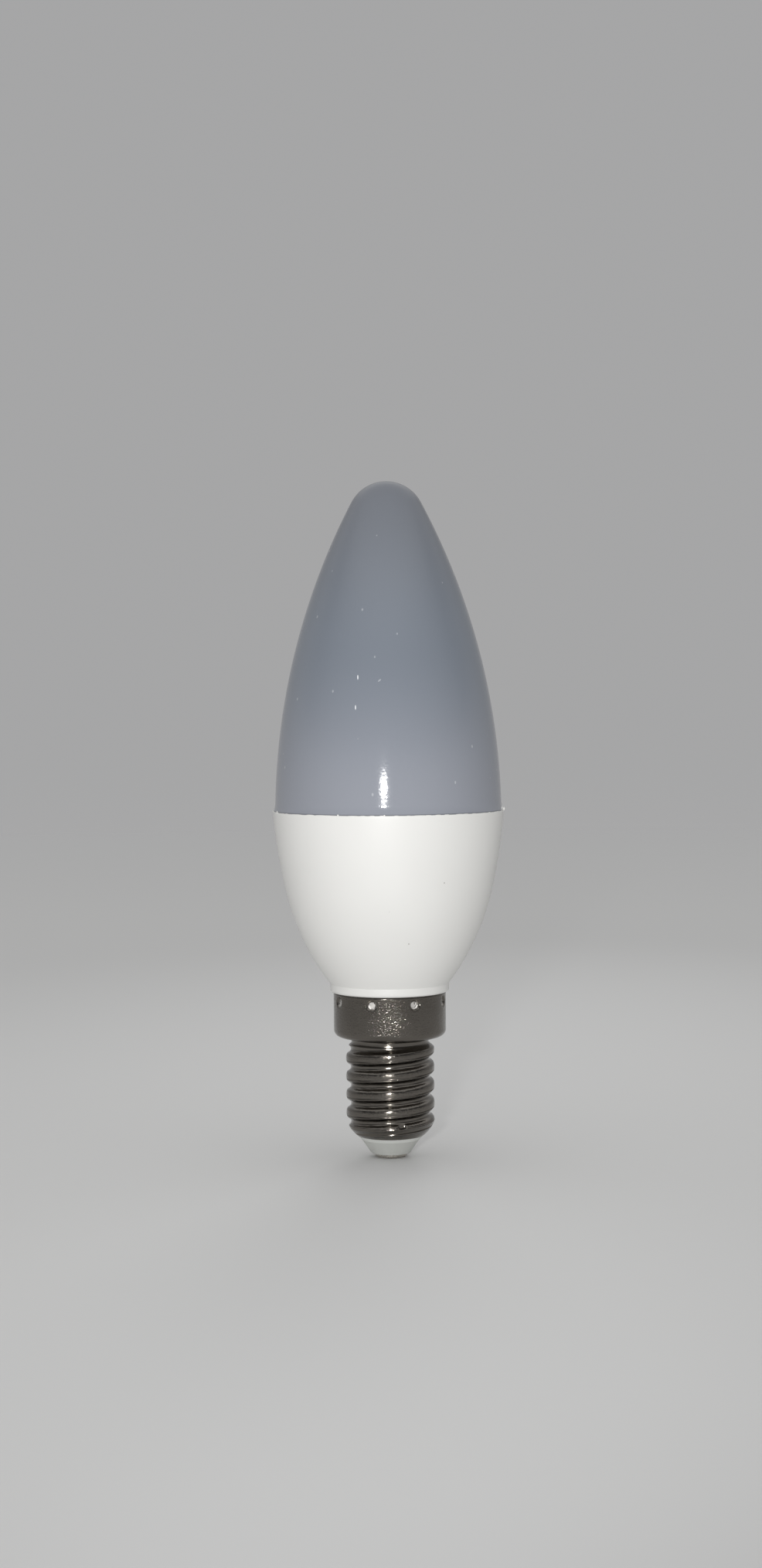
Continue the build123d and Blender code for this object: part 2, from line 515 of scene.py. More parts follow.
class DentRing(ShapeTree):
    """Presses a ring of round dents with flat floors into a turned wall."""

    name = "Dent Ring"
    numbers: ClassVar[tuple[str, ...]] = (
        "Start Turn",
        "Height",
        "Wall Radius",
        "Floor Radius",
        "Disc Radius",
        "Growth",
        "Slope",
        "Softness",
        "Wear And Highlight",
    )
    inputs = {
        **ShapeTree.basis,
        "Count": SocketKind.INTEGER,
        **dict.fromkeys(numbers, SocketKind.NUMBER),
    }
    worn_and_lit_from: ClassVar[float] = 1.1
    worn_and_lit_to: ClassVar[float] = 0.8
    worn_and_lit_drop: ClassVar[float] = 0.2
    widest: ClassVar[float] = 1.0
    clear: ClassVar[float] = 1.0

    def shape(self, given: dict[str, Term]) -> Term:
        """Draws each point in to the nearest dent's floor or cone, and notes the floors whose light
        colour is partly bared metal and partly painted highlight.

        Args:
            given: The tree's inputs by name.

        Returns:
            The dented mesh.
        """
        wiring = self.wiring
        angle, radius, height = self.cylinder_place()
        inset = self.kept(INSET)
        half_step = math.pi / given["Count"]
        beside = wiring.math("WRAP", angle - given["Start Turn"], half_step, 0.0 - half_step)
        near = wiring.clamp(beside, -self.widest, self.widest)
        across = given["Wall Radius"] * wiring.math("SINE", near)
        above = height - given["Height"]
        disc = given["Disc Radius"] + inset * given["Growth"]
        past = wiring.math("MAXIMUM", wiring.distance(across, above) - disc, 0.0)
        floor = given["Floor Radius"] - inset + past / given["Slope"]
        outside = wiring.math("GREATER_THAN", floor, given["Wall Radius"] + given["Softness"])
        dent = floor / wiring.math("COSINE", near) + outside * self.clear
        pressed = wiring.math("SMOOTH_MIN", radius, dent, given["Softness"])
        # Mask of each dent's light floor: partly bared metal, partly a painted highlight.
        worn_and_lit_reach = wiring.distance(across, above + disc * self.worn_and_lit_drop)
        struck_and_highlight = wiring.ramp(worn_and_lit_reach, disc * self.worn_and_lit_from, disc * self.worn_and_lit_to) * given["Wear And Highlight"]
        most = wiring.math("MAXIMUM", self.kept(STRUCK_AND_HIGHLIGHT), struck_and_highlight)
        return self.turned_to(self.keep(given["Geometry"], STRUCK_AND_HIGHLIGHT, most), angle, pressed, height)


class FlashRing(ShapeTree):
    """Adds slivers of moulding flash along a round rim."""

    name = "Flash Ring"
    inputs = {
        **ShapeTree.basis,
        "Count": SocketKind.INTEGER,
        "Radius": SocketKind.NUMBER,
        "Height": SocketKind.NUMBER,
        "Start Turn": SocketKind.NUMBER,
        "Jitter": SocketKind.NUMBER,
        "Smallest": SocketKind.VECTOR,
        "Largest": SocketKind.VECTOR,
        "Seed": SocketKind.INTEGER,
    }
    ball_detail: ClassVar[int] = 2

    def shape(self, given: dict[str, Term]) -> Term:
        """Sets a flattened ball at each place, its X outwards and its Y along the rim.

        Args:
            given: The tree's inputs by name.

        Returns:
            The earlier geometry with the slivers.
        """
        wiring = self.wiring
        index = wiring.take("GeometryNodeInputIndex")
        limits = {"Min": 0.0, "Max": given["Jitter"], "Seed": given["Seed"]}
        jitter = wiring.take("FunctionNodeRandomValue", limits, "Value", data_type="FLOAT")
        angle = given["Start Turn"] + (index + jitter) * math.tau / given["Count"]
        spots = wiring.take("GeometryNodePoints", {"Count": given["Count"]})
        placed = self.turned_to(spots, angle, given["Radius"], given["Height"])
        limits = {"Min": given["Smallest"], "Max": given["Largest"], "Seed": given["Seed"]}
        scale = wiring.take("FunctionNodeRandomValue", limits, "Value", data_type="FLOAT_VECTOR")
        ball = {"Radius": 1.0, "Subdivisions": self.ball_detail}
        copies = {
            "Points": placed,
            "Instance": wiring.take("GeometryNodeMeshIcoSphere", ball, "Mesh"),
            "Rotation": wiring.vector(0.0, 0.0, angle),
            "Scale": scale,
        }
        slivers = wiring.take("GeometryNodeInstanceOnPoints", copies)
        joined = wiring.add("GeometryNodeJoinGeometry", {"Geometry": given["Geometry"]})
        wiring.feed(joined.inputs["Geometry"], slivers)
        return wiring.term(joined)


class ShaderGroup(NodeGroup):
    """A shader node group that several finishes share."""

    tree_type = "ShaderNodeTree"
    output_kind = SocketKind.NUMBER

    def place(self, wiring: Wiring, values: Mapping) -> Term:
        """Places the group in a material with its inputs set, and takes its output."""
        return wiring.take("ShaderNodeGroup", values, self.output, node_tree=self.tree)


class FineGrain(ShaderGroup):
    """Uneven grain, stretched along each axis by its own scale."""

    name = "Fine Grain"
    inputs = {"Place": SocketKind.VECTOR, "Scale": SocketKind.VECTOR, "Detail": SocketKind.NUMBER}
    output = "Height"

    def result(self, given: dict[str, Term]) -> Term:
        """Scales the place and reads a noise there.

        Args:
            given: The group's inputs by name.

        Returns:
            The grain's height.
        """
        scaled = self.wiring.vector_math("MULTIPLY", given["Place"], given["Scale"])
        noise = {"Vector": scaled, "Scale": 1.0, "Detail": given["Detail"]}
        return self.wiring.take("ShaderNodeTexNoise", noise, "Fac")


class Specks(ShaderGroup):
    """Scattered dust: round specks in some of the cells of a cell pattern."""

    name = "Specks"
    inputs = {
        "Place": SocketKind.VECTOR,
        "Scale": SocketKind.VECTOR,
        "Size": SocketKind.NUMBER,
        "Share": SocketKind.NUMBER,
    }
    output = "Mask"
    soft_edge: ClassVar[float] = 0.6

    def result(self, given: dict[str, Term]) -> Term:
        """Keeps the middle of each chosen cell.

        Args:
            given: The group's inputs by name.

        Returns:
            The specks' mask.
        """
        wiring = self.wiring
        scaled = wiring.vector_math("MULTIPLY", given["Place"], given["Scale"])
        cells = wiring.add("ShaderNodeTexVoronoi", {"Vector": scaled, "Scale": 1.0})
        draw = wiring.take("ShaderNodeSeparateColor", {0: wiring.term(cells, "Color")})
        chosen = wiring.math("LESS_THAN", draw, given["Share"])
        away = wiring.term(cells, "Distance")
        return chosen * wiring.ramp(away, given["Size"], given["Size"] * self.soft_edge)


class Mark(ShaderGroup):
    """One small mark at a given place, turned about the Y axis."""

    name = "Mark"
    inputs = {
        "Place": SocketKind.VECTOR,
        "Centre": SocketKind.VECTOR,
        "Half Size": SocketKind.VECTOR,
        "Turn": SocketKind.NUMBER,
    }
    output = "Mask"
    soft_edge: ClassVar[float] = 0.5

    def result(self, given: dict[str, Term]) -> Term:
        """Fades out from the centre to the mark's half size along each axis.

        Args:
            given: The group's inputs by name.

        Returns:
            The mark's mask.
        """
        wiring = self.wiring
        turn = {"Vector": given["Place"], "Center": given["Centre"], "Angle": given["Turn"]}
        turned = wiring.take("ShaderNodeVectorRotate", turn, rotation_type="Y_AXIS")
        away = wiring.vector_math("SUBTRACT", turned, given["Centre"])
        share = wiring.length(wiring.vector_math("DIVIDE", away, given["Half Size"]))
        return wiring.ramp(share, 1.0, self.soft_edge)


@dataclass(frozen=True)
class ShaderKit:
    """The shader groups that the finishes share."""

    grain: FineGrain
    specks: Specks
    mark: Mark


@dataclass(frozen=True)
class Grain:
    """How fine a grain is.

    Attributes:
        scale: Waves to a metre along each axis.
        detail: How many finer waves lie on the coarse ones.
    """

    scale: Triple
    detail: float

    @classmethod
    def even(cls, waves: float, detail: float) -> "Grain":
        """Describes a grain that is as fine along each axis."""
        return cls((waves, waves, waves), detail)


@dataclass(frozen=True)
class Canvas:
    """A material in the making.

    Attributes:
        wiring: Wiring of the material.
        shader: The material's shader.
        place: Object coordinates.
        kit: The shared shader groups.
    """

    wiring: Wiring
    shader: bpy.types.Node
    place: Term
    kit: ShaderKit

    def feed(self, name: str, value: object) -> None:
        """Links a value to an input of the shader or sets it there."""
        self.wiring.feed(self.shader.inputs[name], value)

    def grain(self, grain: Grain) -> Term:
        """Reads a grain, which goes from 0 to 1."""
        values = {"Place": self.place, "Scale": grain.scale, "Detail": grain.detail}
        return self.kit.grain.place(self.wiring, values)


@dataclass(frozen=True)
class SurfaceMark:
    """A small mark on a surface.

    Attributes:
        centre: Middle of the mark.
        half_size: Its reach along each axis.
        turn: How far it is turned about the Y axis.
        strength: Share of the mark's colour that shows.
    """

    centre: Triple
    half_size: Triple
    turn: float
    strength: float


@dataclass(frozen=True)
class Dust:
    """Specks of one colour, scattered by rule, and some marks that stand out.

    Attributes:
        colour: Colour of the specks and the marks.
        scale: Cells to a metre along each axis.
        size: Reach of a speck in its cell.
        share: Share of the cells that hold a speck.
        strength: Share of the colour that shows on a speck.
        marks: The marks that stand out.
    """

    colour: Colour
    scale: Triple
    size: float
    share: float
    strength: float
    marks: tuple[SurfaceMark, ...]

    def over(self, canvas: Canvas, body: Term) -> Term:
        """Lays the specks and the marks over a colour.

        Args:
            canvas: The material in the making.
            body: Colour below the dust.

        Returns:
            The colour with the dust.
        """
        wiring = canvas.wiring
        values = {"Place": canvas.place, "Scale": self.scale, "Size": self.size, "Share": self.share}
        body = wiring.mix(canvas.kit.specks.place(wiring, values) * self.strength, body, self.colour)
        for mark in self.marks:
            values = {
                "Place": canvas.place,
                "Centre": mark.centre,
                "Half Size": mark.half_size,
                "Turn": mark.turn,
            }
            body = wiring.mix(canvas.kit.mark.place(wiring, values) * mark.strength, body, self.colour)
        return body


@dataclass(frozen=True)
class Finish(ABC):
    """A material with its own detail.

    Attributes:
        name: Name of the material.
        roughness: Mean roughness.
        roughness_swing: How far the grain moves the roughness each way.
        grain: The surface's fine grain.
        bump_depth: Depth of that grain.
        bump_strength: Share of the depth that shows.
    """

    name: str
    roughness: float
    roughness_swing: float
    grain: Grain
    bump_depth: float
    bump_strength: float

    def material(self, kit: ShaderKit) -> bpy.types.Material:
        """Builds the material.

        Args:
            kit: The shared shader groups.

        Returns:
            The material.
        """
        material = bpy.data.materials.new(self.name)
        material.use_nodes = True
        wiring = Wiring(material.node_tree)
        place = wiring.take("ShaderNodeTexCoord", output="Object")
        self.dress(Canvas(wiring, material.node_tree.nodes["Principled BSDF"], place, kit))
        return material

    @abstractmethod
    def dress(self, canvas: Canvas) -> None:
        """Feeds the shader."""

    def uneven(self, height: Term) -> Term:
        """Moves the roughness with a grain's height, which goes from 0 to 1."""
        return (height - GRAIN_MIDDLE) * (2 * self.roughness_swing) + self.roughness

    def feed_relief(self, canvas: Canvas, height: Term, roughness: Term) -> None:
        """Feeds the roughness, and the normal from a height.

        Args:
            canvas: The material in the making.
            height: Height of each place, as a share of the grain's depth.
            roughness: Roughness of each place.
        """
        canvas.feed("Roughness", roughness)
        relief = {"Height": height, "Distance": self.bump_depth, "Strength": self.bump_strength}
        canvas.feed("Normal", canvas.wiring.take("ShaderNodeBump", relief))


@dataclass(frozen=True)
class PlasticFinish(Finish):
    """Moulded plastic with dust or specks on it.

    Attributes:
        dust: The dust or specks.
    """

    dust: Dust

    @abstractmethod
    def body(self, canvas: Canvas) -> Term:
        """Works out the plastic's own colour."""

    def dress(self, canvas: Canvas) -> None:
        """Lays the dust over the colour and gives the surface its moulded grain.

        Args:
            canvas: The material in the making.
        """
        canvas.feed("Base Color", self.dust.over(canvas, self.body(canvas)))
        grain = canvas.grain(self.grain)
        self.feed_relief(canvas, grain, self.uneven(grain))


@dataclass(frozen=True)
class OpalFinish(PlasticFinish):
    """Unlit opal plastic, lighter at the foot and greyer towards the tip in a grading that is partly
    painted shade, with a painted shade line at its seam.

    Attributes:
        foot_colour: Colour just above the seam.
        middle_colour: Colour half-way up.
        tip_colour: Colour at the tip.
        foot_z: Height of the seam.
        tip_z: Height of the tip.
        painted_seam_shade: Colour of the painted shade line at the seam.
        painted_seam_shade_h: Height of that line.
        painted_seam_shade_core_h: Height of its darkest part.
    """

    foot_colour: Colour
    middle_colour: Colour
    tip_colour: Colour
    foot_z: float
    tip_z: float
    painted_seam_shade: Colour
    painted_seam_shade_h: float
    painted_seam_shade_core_h: float

    def body(self, canvas: Canvas) -> Term:
        """Grades the colour by height, partly as painted shade, and paints a shade line at the seam.

        Args:
            canvas: The material in the making.

        Returns:
            The colour below the dust.
        """
        wiring = canvas.wiring
        _, _, z = wiring.split(canvas.place)
        middle_z = (self.foot_z + self.tip_z) / 2
        # Painted shade in part: the colour grows darker from the foot to the tip, where the light falls
        # off.
        body = wiring.mix(wiring.ramp(z, self.foot_z, middle_z), self.foot_colour, self.middle_colour)
        body = wiring.mix(wiring.ramp(z, middle_z, self.tip_z), body, self.tip_colour)
        # Painted shade: a dark line just above the seam, where the dome meets the body.
        seam = wiring.ramp(z, self.foot_z + self.painted_seam_shade_h, self.foot_z + self.painted_seam_shade_core_h)
        return wiring.mix(seam, body, self.painted_seam_shade)


@dataclass(frozen=True)
class MouldedFinish(PlasticFinish):
    """Satin plastic with faint clouding.

    Attributes:
        colour: Colour of the plastic.
        shade: Colour of its darker clouds.
    """

    colour: Colour
    shade: Colour

    clouds: ClassVar[Grain] = Grain((90.0, 90.0, 60.0), 3.0)

    def body(self, canvas: Canvas) -> Term:
        """Clouds the plastic's colour."""
        return canvas.wiring.mix(canvas.grain(self.clouds), self.colour, self.shade)


@dataclass(frozen=True)
class BandedFinish(MouldedFinish):
    """Moulded plastic that is lighter in a band at its top.

    Attributes:
        band_colour: Colour of the band.
        band_z: Height of its lower edge.
        band_edge: Height over which it fades in.
    """

    band_colour: Colour
    band_z: float
    band_edge: float

    def body(self, canvas: Canvas) -> Term:
        """Lays the band over the clouded plastic.

        Args:
            canvas: The material in the making.

        Returns:
            The colour below the specks.
        """
        _, _, z = canvas.wiring.split(canvas.place)
        band = canvas.wiring.ramp(z, self.band_z, self.band_z + self.band_edge)
        return canvas.wiring.mix(band, super().body(canvas), self.band_colour)


@dataclass(frozen=True)
class MetalFinish(Finish):
    """Metal with duller patches and fine pits.

    Attributes:
        colour: Colour of the metal.
        tarnish: Colour of its duller patches.
    """

    colour: Colour
    tarnish: Colour

    clouds: ClassVar[Grain] = Grain.even(260.0, 3.0)
    pit_from: ClassVar[float] = 0.47
    pit_to: ClassVar[float] = 0.77

    def dress(self, canvas: Canvas) -> None:
        """Dulls the colour in patches and turns the grain into pits.

        Args:
            canvas: The material in the making.
        """
        canvas.feed("Metallic", 1.0)
        body = canvas.wiring.mix(canvas.grain(self.clouds), self.colour, self.tarnish)
        grain = canvas.grain(self.grain)
        pits = canvas.wiring.ramp(grain, self.pit_from, self.pit_to)
        self.work(canvas, body, grain, pits)

    def work(self, canvas: Canvas, body: Term, grain: Term, pits: Term) -> None:
        """Feeds the colour and the relief."""
        canvas.feed("Base Color", body)
        self.feed_relief(canvas, pits, self.uneven(pits))


@dataclass(frozen=True)
class RidgeLine:
    """A fine raised line that follows a screw thread.

    Attributes:
        pitch: Rise of the line in one turn.
        front_z: A height at which it passes the front.
        half_width: Its reach up and down.
        low_z: Height where it starts.
        high_z: Height where it ends.
        share: Its height, as a share of the depth of the grain.
    """

    pitch: float
    front_z: float
    half_width: float
    low_z: float
    high_z: float
    share: float

    def relief(self, canvas: Canvas) -> Term:
        """Works out the line's height at each place.

        Args:
            canvas: The material in the making.

        Returns:
            The height, as a share of the grain's depth.
        """
        wiring = canvas.wiring
        x, y, z = wiring.split(canvas.place)
        turn = wiring.math("ARCTAN2", x, 0.0 - y) / math.tau
        level = z - turn * self.pitch - self.front_z
        offset = wiring.math("WRAP", level, self.pitch / 2, -self.pitch / 2)
        line = wiring.ramp(wiring.math("ABSOLUTE", offset), self.half_width, 0.0)
        return line * wiring.band(z, self.low_z, self.high_z, self.half_width) * self.share


@dataclass(frozen=True)
class PlatedFinish(MetalFinish):
    """Bright plating on a rolled cap: a pitted skirt, lined and lightly pitted thread, and dents with
    rough light floors that are partly bared metal and partly painted highlight.

    Attributes:
        pit_low_z: Height where the pitted skirt starts.
        pit_high_z: Height where it ends.
        crest_low_r: Radius where the thread's pitted crests start.
        crest_high_r: Radius where they end.
        pit_fade: Distance over which the pits fade out.
        crest_share: Share of the pits that the crests have.
        smooth_share: Share of the pits that is left elsewhere.
        lines: Lines that rolling left where there are few pits.
        line_roughness: How much rougher the metal is there.
        line_share: Depth of the lines, as a share of the pits' depth.
        struck_and_highlight_colour: Colour of the floors of the dents, partly bared metal and partly
            painted highlight.
        struck_roughness: How much rougher those floors are.
        ridges: Fine raised lines.
    """

    pit_low_z: float
    pit_high_z: float
    crest_low_r: float
    crest_high_r: float
    pit_fade: float
    crest_share: float
    smooth_share: float
    lines: Grain
    line_roughness: float
    line_share: float
    struck_and_highlight_colour: Colour
    struck_roughness: float
    ridges: tuple[RidgeLine, ...]

    mottle_low: ClassVar[float] = 0.25
    mottle_high: ClassVar[float] = 0.5

    def work(self, canvas: Canvas, body: Term, grain: Term, pits: Term) -> None:
        """Spreads the pits, draws rolling lines and ridges, and roughens and lightens the floors of the
        dents, partly as bared metal and partly as a painted highlight.

        Args:
            canvas: The material in the making.
            body: Colour of the metal.
            grain: The surface's fine grain.
            pits: Height of the pitted surface, from 0 to 1.
        """
        wiring = canvas.wiring
        # Light floors of the dents: partly bared metal, partly a painted highlight.
        struck_and_highlight = wiring.take("ShaderNodeAttribute", output="Fac", attribute_name=STRUCK_AND_HIGHLIGHT)
        struck_and_highlight = struck_and_highlight * wiring.ramp(grain, self.mottle_low, self.mottle_high)
        canvas.feed("Base Color", wiring.mix(struck_and_highlight, body, self.struck_and_highlight_colour))
        x, y, z = wiring.split(canvas.place)
        skirt = wiring.band(z, self.pit_low_z, self.pit_high_z, self.pit_fade)
        crest = wiring.band(wiring.distance(x, y), self.crest_low_r, self.crest_high_r, self.pit_fade)
        pitted = wiring.math("MAXIMUM", skirt, crest * self.crest_share)
        depth = pitted * (1 - self.smooth_share) + self.smooth_share
        lines = (canvas.grain(self.lines) - GRAIN_MIDDLE) * (1.0 - pitted) * self.line_share
        height = (pits - GRAIN_MIDDLE) * depth + lines + GRAIN_MIDDLE
        roughness = self.uneven(height) + struck_and_highlight * self.struck_roughness
        roughness = roughness + (1.0 - pitted) * self.line_roughness
        for ridge in self.ridges:
            height = height + ridge.relief(canvas)
        self.feed_relief(canvas, height, roughness)


@dataclass(frozen=True)
class LampSizes:
    """Heights and radii that the pieces share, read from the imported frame."""

    contact_r: float
    contact_top_z: float
    insulator_foot_z: float
    insulator_top_z: float
    floor_r: float
    floor_z: float
    skirt_r: float
    cap_top_z: float
    neck_z: float
    rim_z: float
    plug_z: float
    flare_r: float
    tip_z: float

    @classmethod
    def read(cls) -> "LampSizes":
        """Reads the sizes from the boxes of the frame's nodes.

        Returns:
            The sizes.
        """
        names = ("centre_contact", "insulator", "screw_cap", "housing", "diffuser")
        contact, insulator, cap, housing, diffuser = (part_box(name) for name in names)
        return cls(
            contact_r=contact[1].x,
            contact_top_z=contact[1].z,
            insulator_foot_z=insulator[0].z,
            insulator_top_z=insulator[1].z,
            floor_r=insulator[1].x,
            floor_z=cap[0].z,
            skirt_r=cap[1].x,
            cap_top_z=cap[1].z,
            neck_z=housing[0].z,
            rim_z=housing[1].z,
            plug_z=diffuser[0].z,
            flare_r=diffuser[1].x,
            tip_z=diffuser[1].z,
        )


def new_piece(name: str, points: Sequence[Vector]) -> bpy.types.Object:
    """Makes an object from loose points.

    Args:
        name: Name of the object.
        points: Points of its mesh.

    Returns:
        The object, linked to the scene.
    """
    mesh = bpy.data.meshes.new(name)
    mesh.from_pydata(points, [], [])
    piece = bpy.data.objects.new(name, mesh)
    bpy.context.scene.collection.objects.link(piece)
    return piece


def set_plain_mesh(piece: bpy.types.Object, sharp_angle: float) -> None:
    """Turns a piece with modifiers into a plain mesh, smooth but for its sharper edges.

    Args:
        piece: Object with the modifiers.
        sharp_angle: Angle from which an edge stays sharp.
    """
    shaped = piece.evaluated_get(bpy.context.evaluated_depsgraph_get())
    mesh = bpy.data.meshes.new_from_object(shaped)
    piece.modifiers.clear()
    piece.data = mesh
    if INSET in mesh.attributes:
        mesh.attributes.remove(mesh.attributes[INSET])
    mesh.shade_smooth()
    mesh.set_sharp_from_angle(angle=sharp_angle)


@dataclass
class TurnedPiece(ABC):
    """A turned piece that stands for one node of the frame.

    Attributes:
        sizes: Sizes shared by the pieces.
        lathe: The tree that turns a half section.
    """

    sizes: LampSizes
    lathe: Lathe

    node: ClassVar[str]
    slot: ClassVar[str]
    segments: ClassVar[int]
    sharp_angle: ClassVar[float] = SHARP_ANGLE

    @abstractmethod
    def outline(self) -> list[Vector]:
        """Draws the half section as (radius, inset, height), with the piece on its left."""

    def shape(self, piece: bpy.types.Object, finish: bpy.types.Material) -> None:
        """Adds what is pressed into the turned form."""

    def build(self, finish: bpy.types.Material) -> bpy.types.Object:
        """Turns the piece, dresses it and sets it in place of its node.

        Args:
            finish: Material of the piece.

        Returns:
            The finished object.
        """
        piece = new_piece(f"{self.node}_skin", self.outline())
        self.lathe.put_on(piece, finish, {"Segments": self.segments})
        self.shape(piece, finish)
        set_plain_mesh(piece, self.sharp_angle)
        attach(piece, BODY)
        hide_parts(self.node)
        log.info("%s: %d faces", piece.name, len(piece.data.polygons))
        return piece


@dataclass
class CentreContact(TurnedPiece):
    """Headed pin at the foot of the lamp."""

    shank_r: float = 0.8 * MM
    head_round: float = 0.25 * MM

    node = "centre_contact"
    slot = "contact_metal"
    segments = 96
    corner_spans: ClassVar[int] = 6

    def outline(self) -> list[Vector]:
        """Draws the head with its rounded rim and the shank above it.

        Returns:
            The section's rows.
        """
        sizes = self.sizes
        head_z = sizes.insulator_foot_z
        corners = (
            ((0.0, 0.0), 0.0),
            ((sizes.contact_r, 0.0), self.head_round),
            ((sizes.contact_r, head_z), 0.0),
            ((self.shank_r, head_z), 0.0),
            ((self.shank_r, sizes.contact_top_z), 0.0),
            ((0.0, sizes.contact_top_z), 0.0),
        )
        return solid_rows(rounded(corners, self.corner_spans))


@dataclass
class Insulator(TurnedPiece):
    """Cone below the cap, with a lip that grips the cap's floor."""

    bore_r: float = 0.85 * MM
    foot_margin: float = 0.55 * MM
    foot_round: float = 0.15 * MM
    band_h: float = 0.6 * MM
    band_w: float = 0.65 * MM
    lip_r: float = 5.097 * MM
    neck_r: float = 4.597 * MM
    lip_h: float = 1.0 * MM

    node = "insulator"
    slot = "insulator_plastic"
    segments = 144
    corner_spans: ClassVar[int] = 8

    def outline(self) -> list[Vector]:
        """Draws the cone, the band above it, the neck and the lip, as a closed ring.

        Returns:
            The section's rows.
        """
        sizes = self.sizes
        foot_z = sizes.insulator_foot_z
        lip_z = sizes.insulator_top_z - self.lip_h
        corners = (
            ((self.bore_r, foot_z), 0.0),
            ((sizes.contact_r + self.foot_margin, foot_z), self.foot_round),
            ((sizes.floor_r - self.band_w, sizes.floor_z - self.band_h), 0.0),
            ((sizes.floor_r, sizes.floor_z), 0.0),
            ((self.neck_r, sizes.floor_z), 0.0),
            ((self.neck_r, lip_z), 0.0),
            ((self.lip_r, lip_z), 0.0),
            ((self.lip_r, sizes.insulator_top_z), 0.0),
            ((self.bore_r, sizes.insulator_top_z), 0.0),
            ((self.bore_r, foot_z), 0.0),
        )
        return solid_rows(rounded(corners, self.corner_spans))


@dataclass
class CrimpPattern:
    """Ring of dents that hold the cap on the body."""

    ring: DentRing
    count: int = 8
    start_turn: float = math.radians(26)
    margin: float = 0.4 * MM
    disc_r: float = 0.625 * MM
    mouth_r: float = 0.85 * MM
    depth: float = 0.45 * MM
    softness: float = 0.15 * MM
    clear: float = 0.15 * MM
    # Share of the light dent floors, partly bared metal and partly painted highlight.
    wear_and_highlight: float = 1.0

    def height(self, sizes: LampSizes) -> float:
        """Gives the height of the dents' centres."""
        return sizes.cap_top_z - self.margin - self.mouth_r

    def low_z(self, sizes: LampSizes) -> float:
        """Gives a height clear below the dents."""
        return self.height(sizes) - self.mouth_r - self.softness - self.clear

    def press(
        self,
        piece: bpy.types.Object,
        finish: bpy.types.Material,
        sizes: LampSizes,
        wall_r: float,
        grow: float,
    ) -> None:
        """Presses the dents into a piece.

        Args:
            piece: Object with the wall.
            finish: Material of the piece.
            sizes: Sizes shared by the pieces.
            wall_r: Radius of the wall.
            grow: How far the wall's dents lie inside the cap's outer face.
        """
        slope = (self.mouth_r - self.disc_r) / self.depth
        growth = math.sqrt(1 + slope**2) - slope
        dents = {
            "Count": self.count,
            "Start Turn": self.start_turn,
            "Height": self.height(sizes),
            "Wall Radius": wall_r,
            "Floor Radius": sizes.skirt_r - self.depth - grow,
            "Disc Radius": self.disc_r + grow * growth,
            "Growth": growth,
            "Slope": slope,
            "Softness": self.softness,
            "Wear And Highlight": self.wear_and_highlight,
        }
        self.ring.put_on(piece, finish, dents)


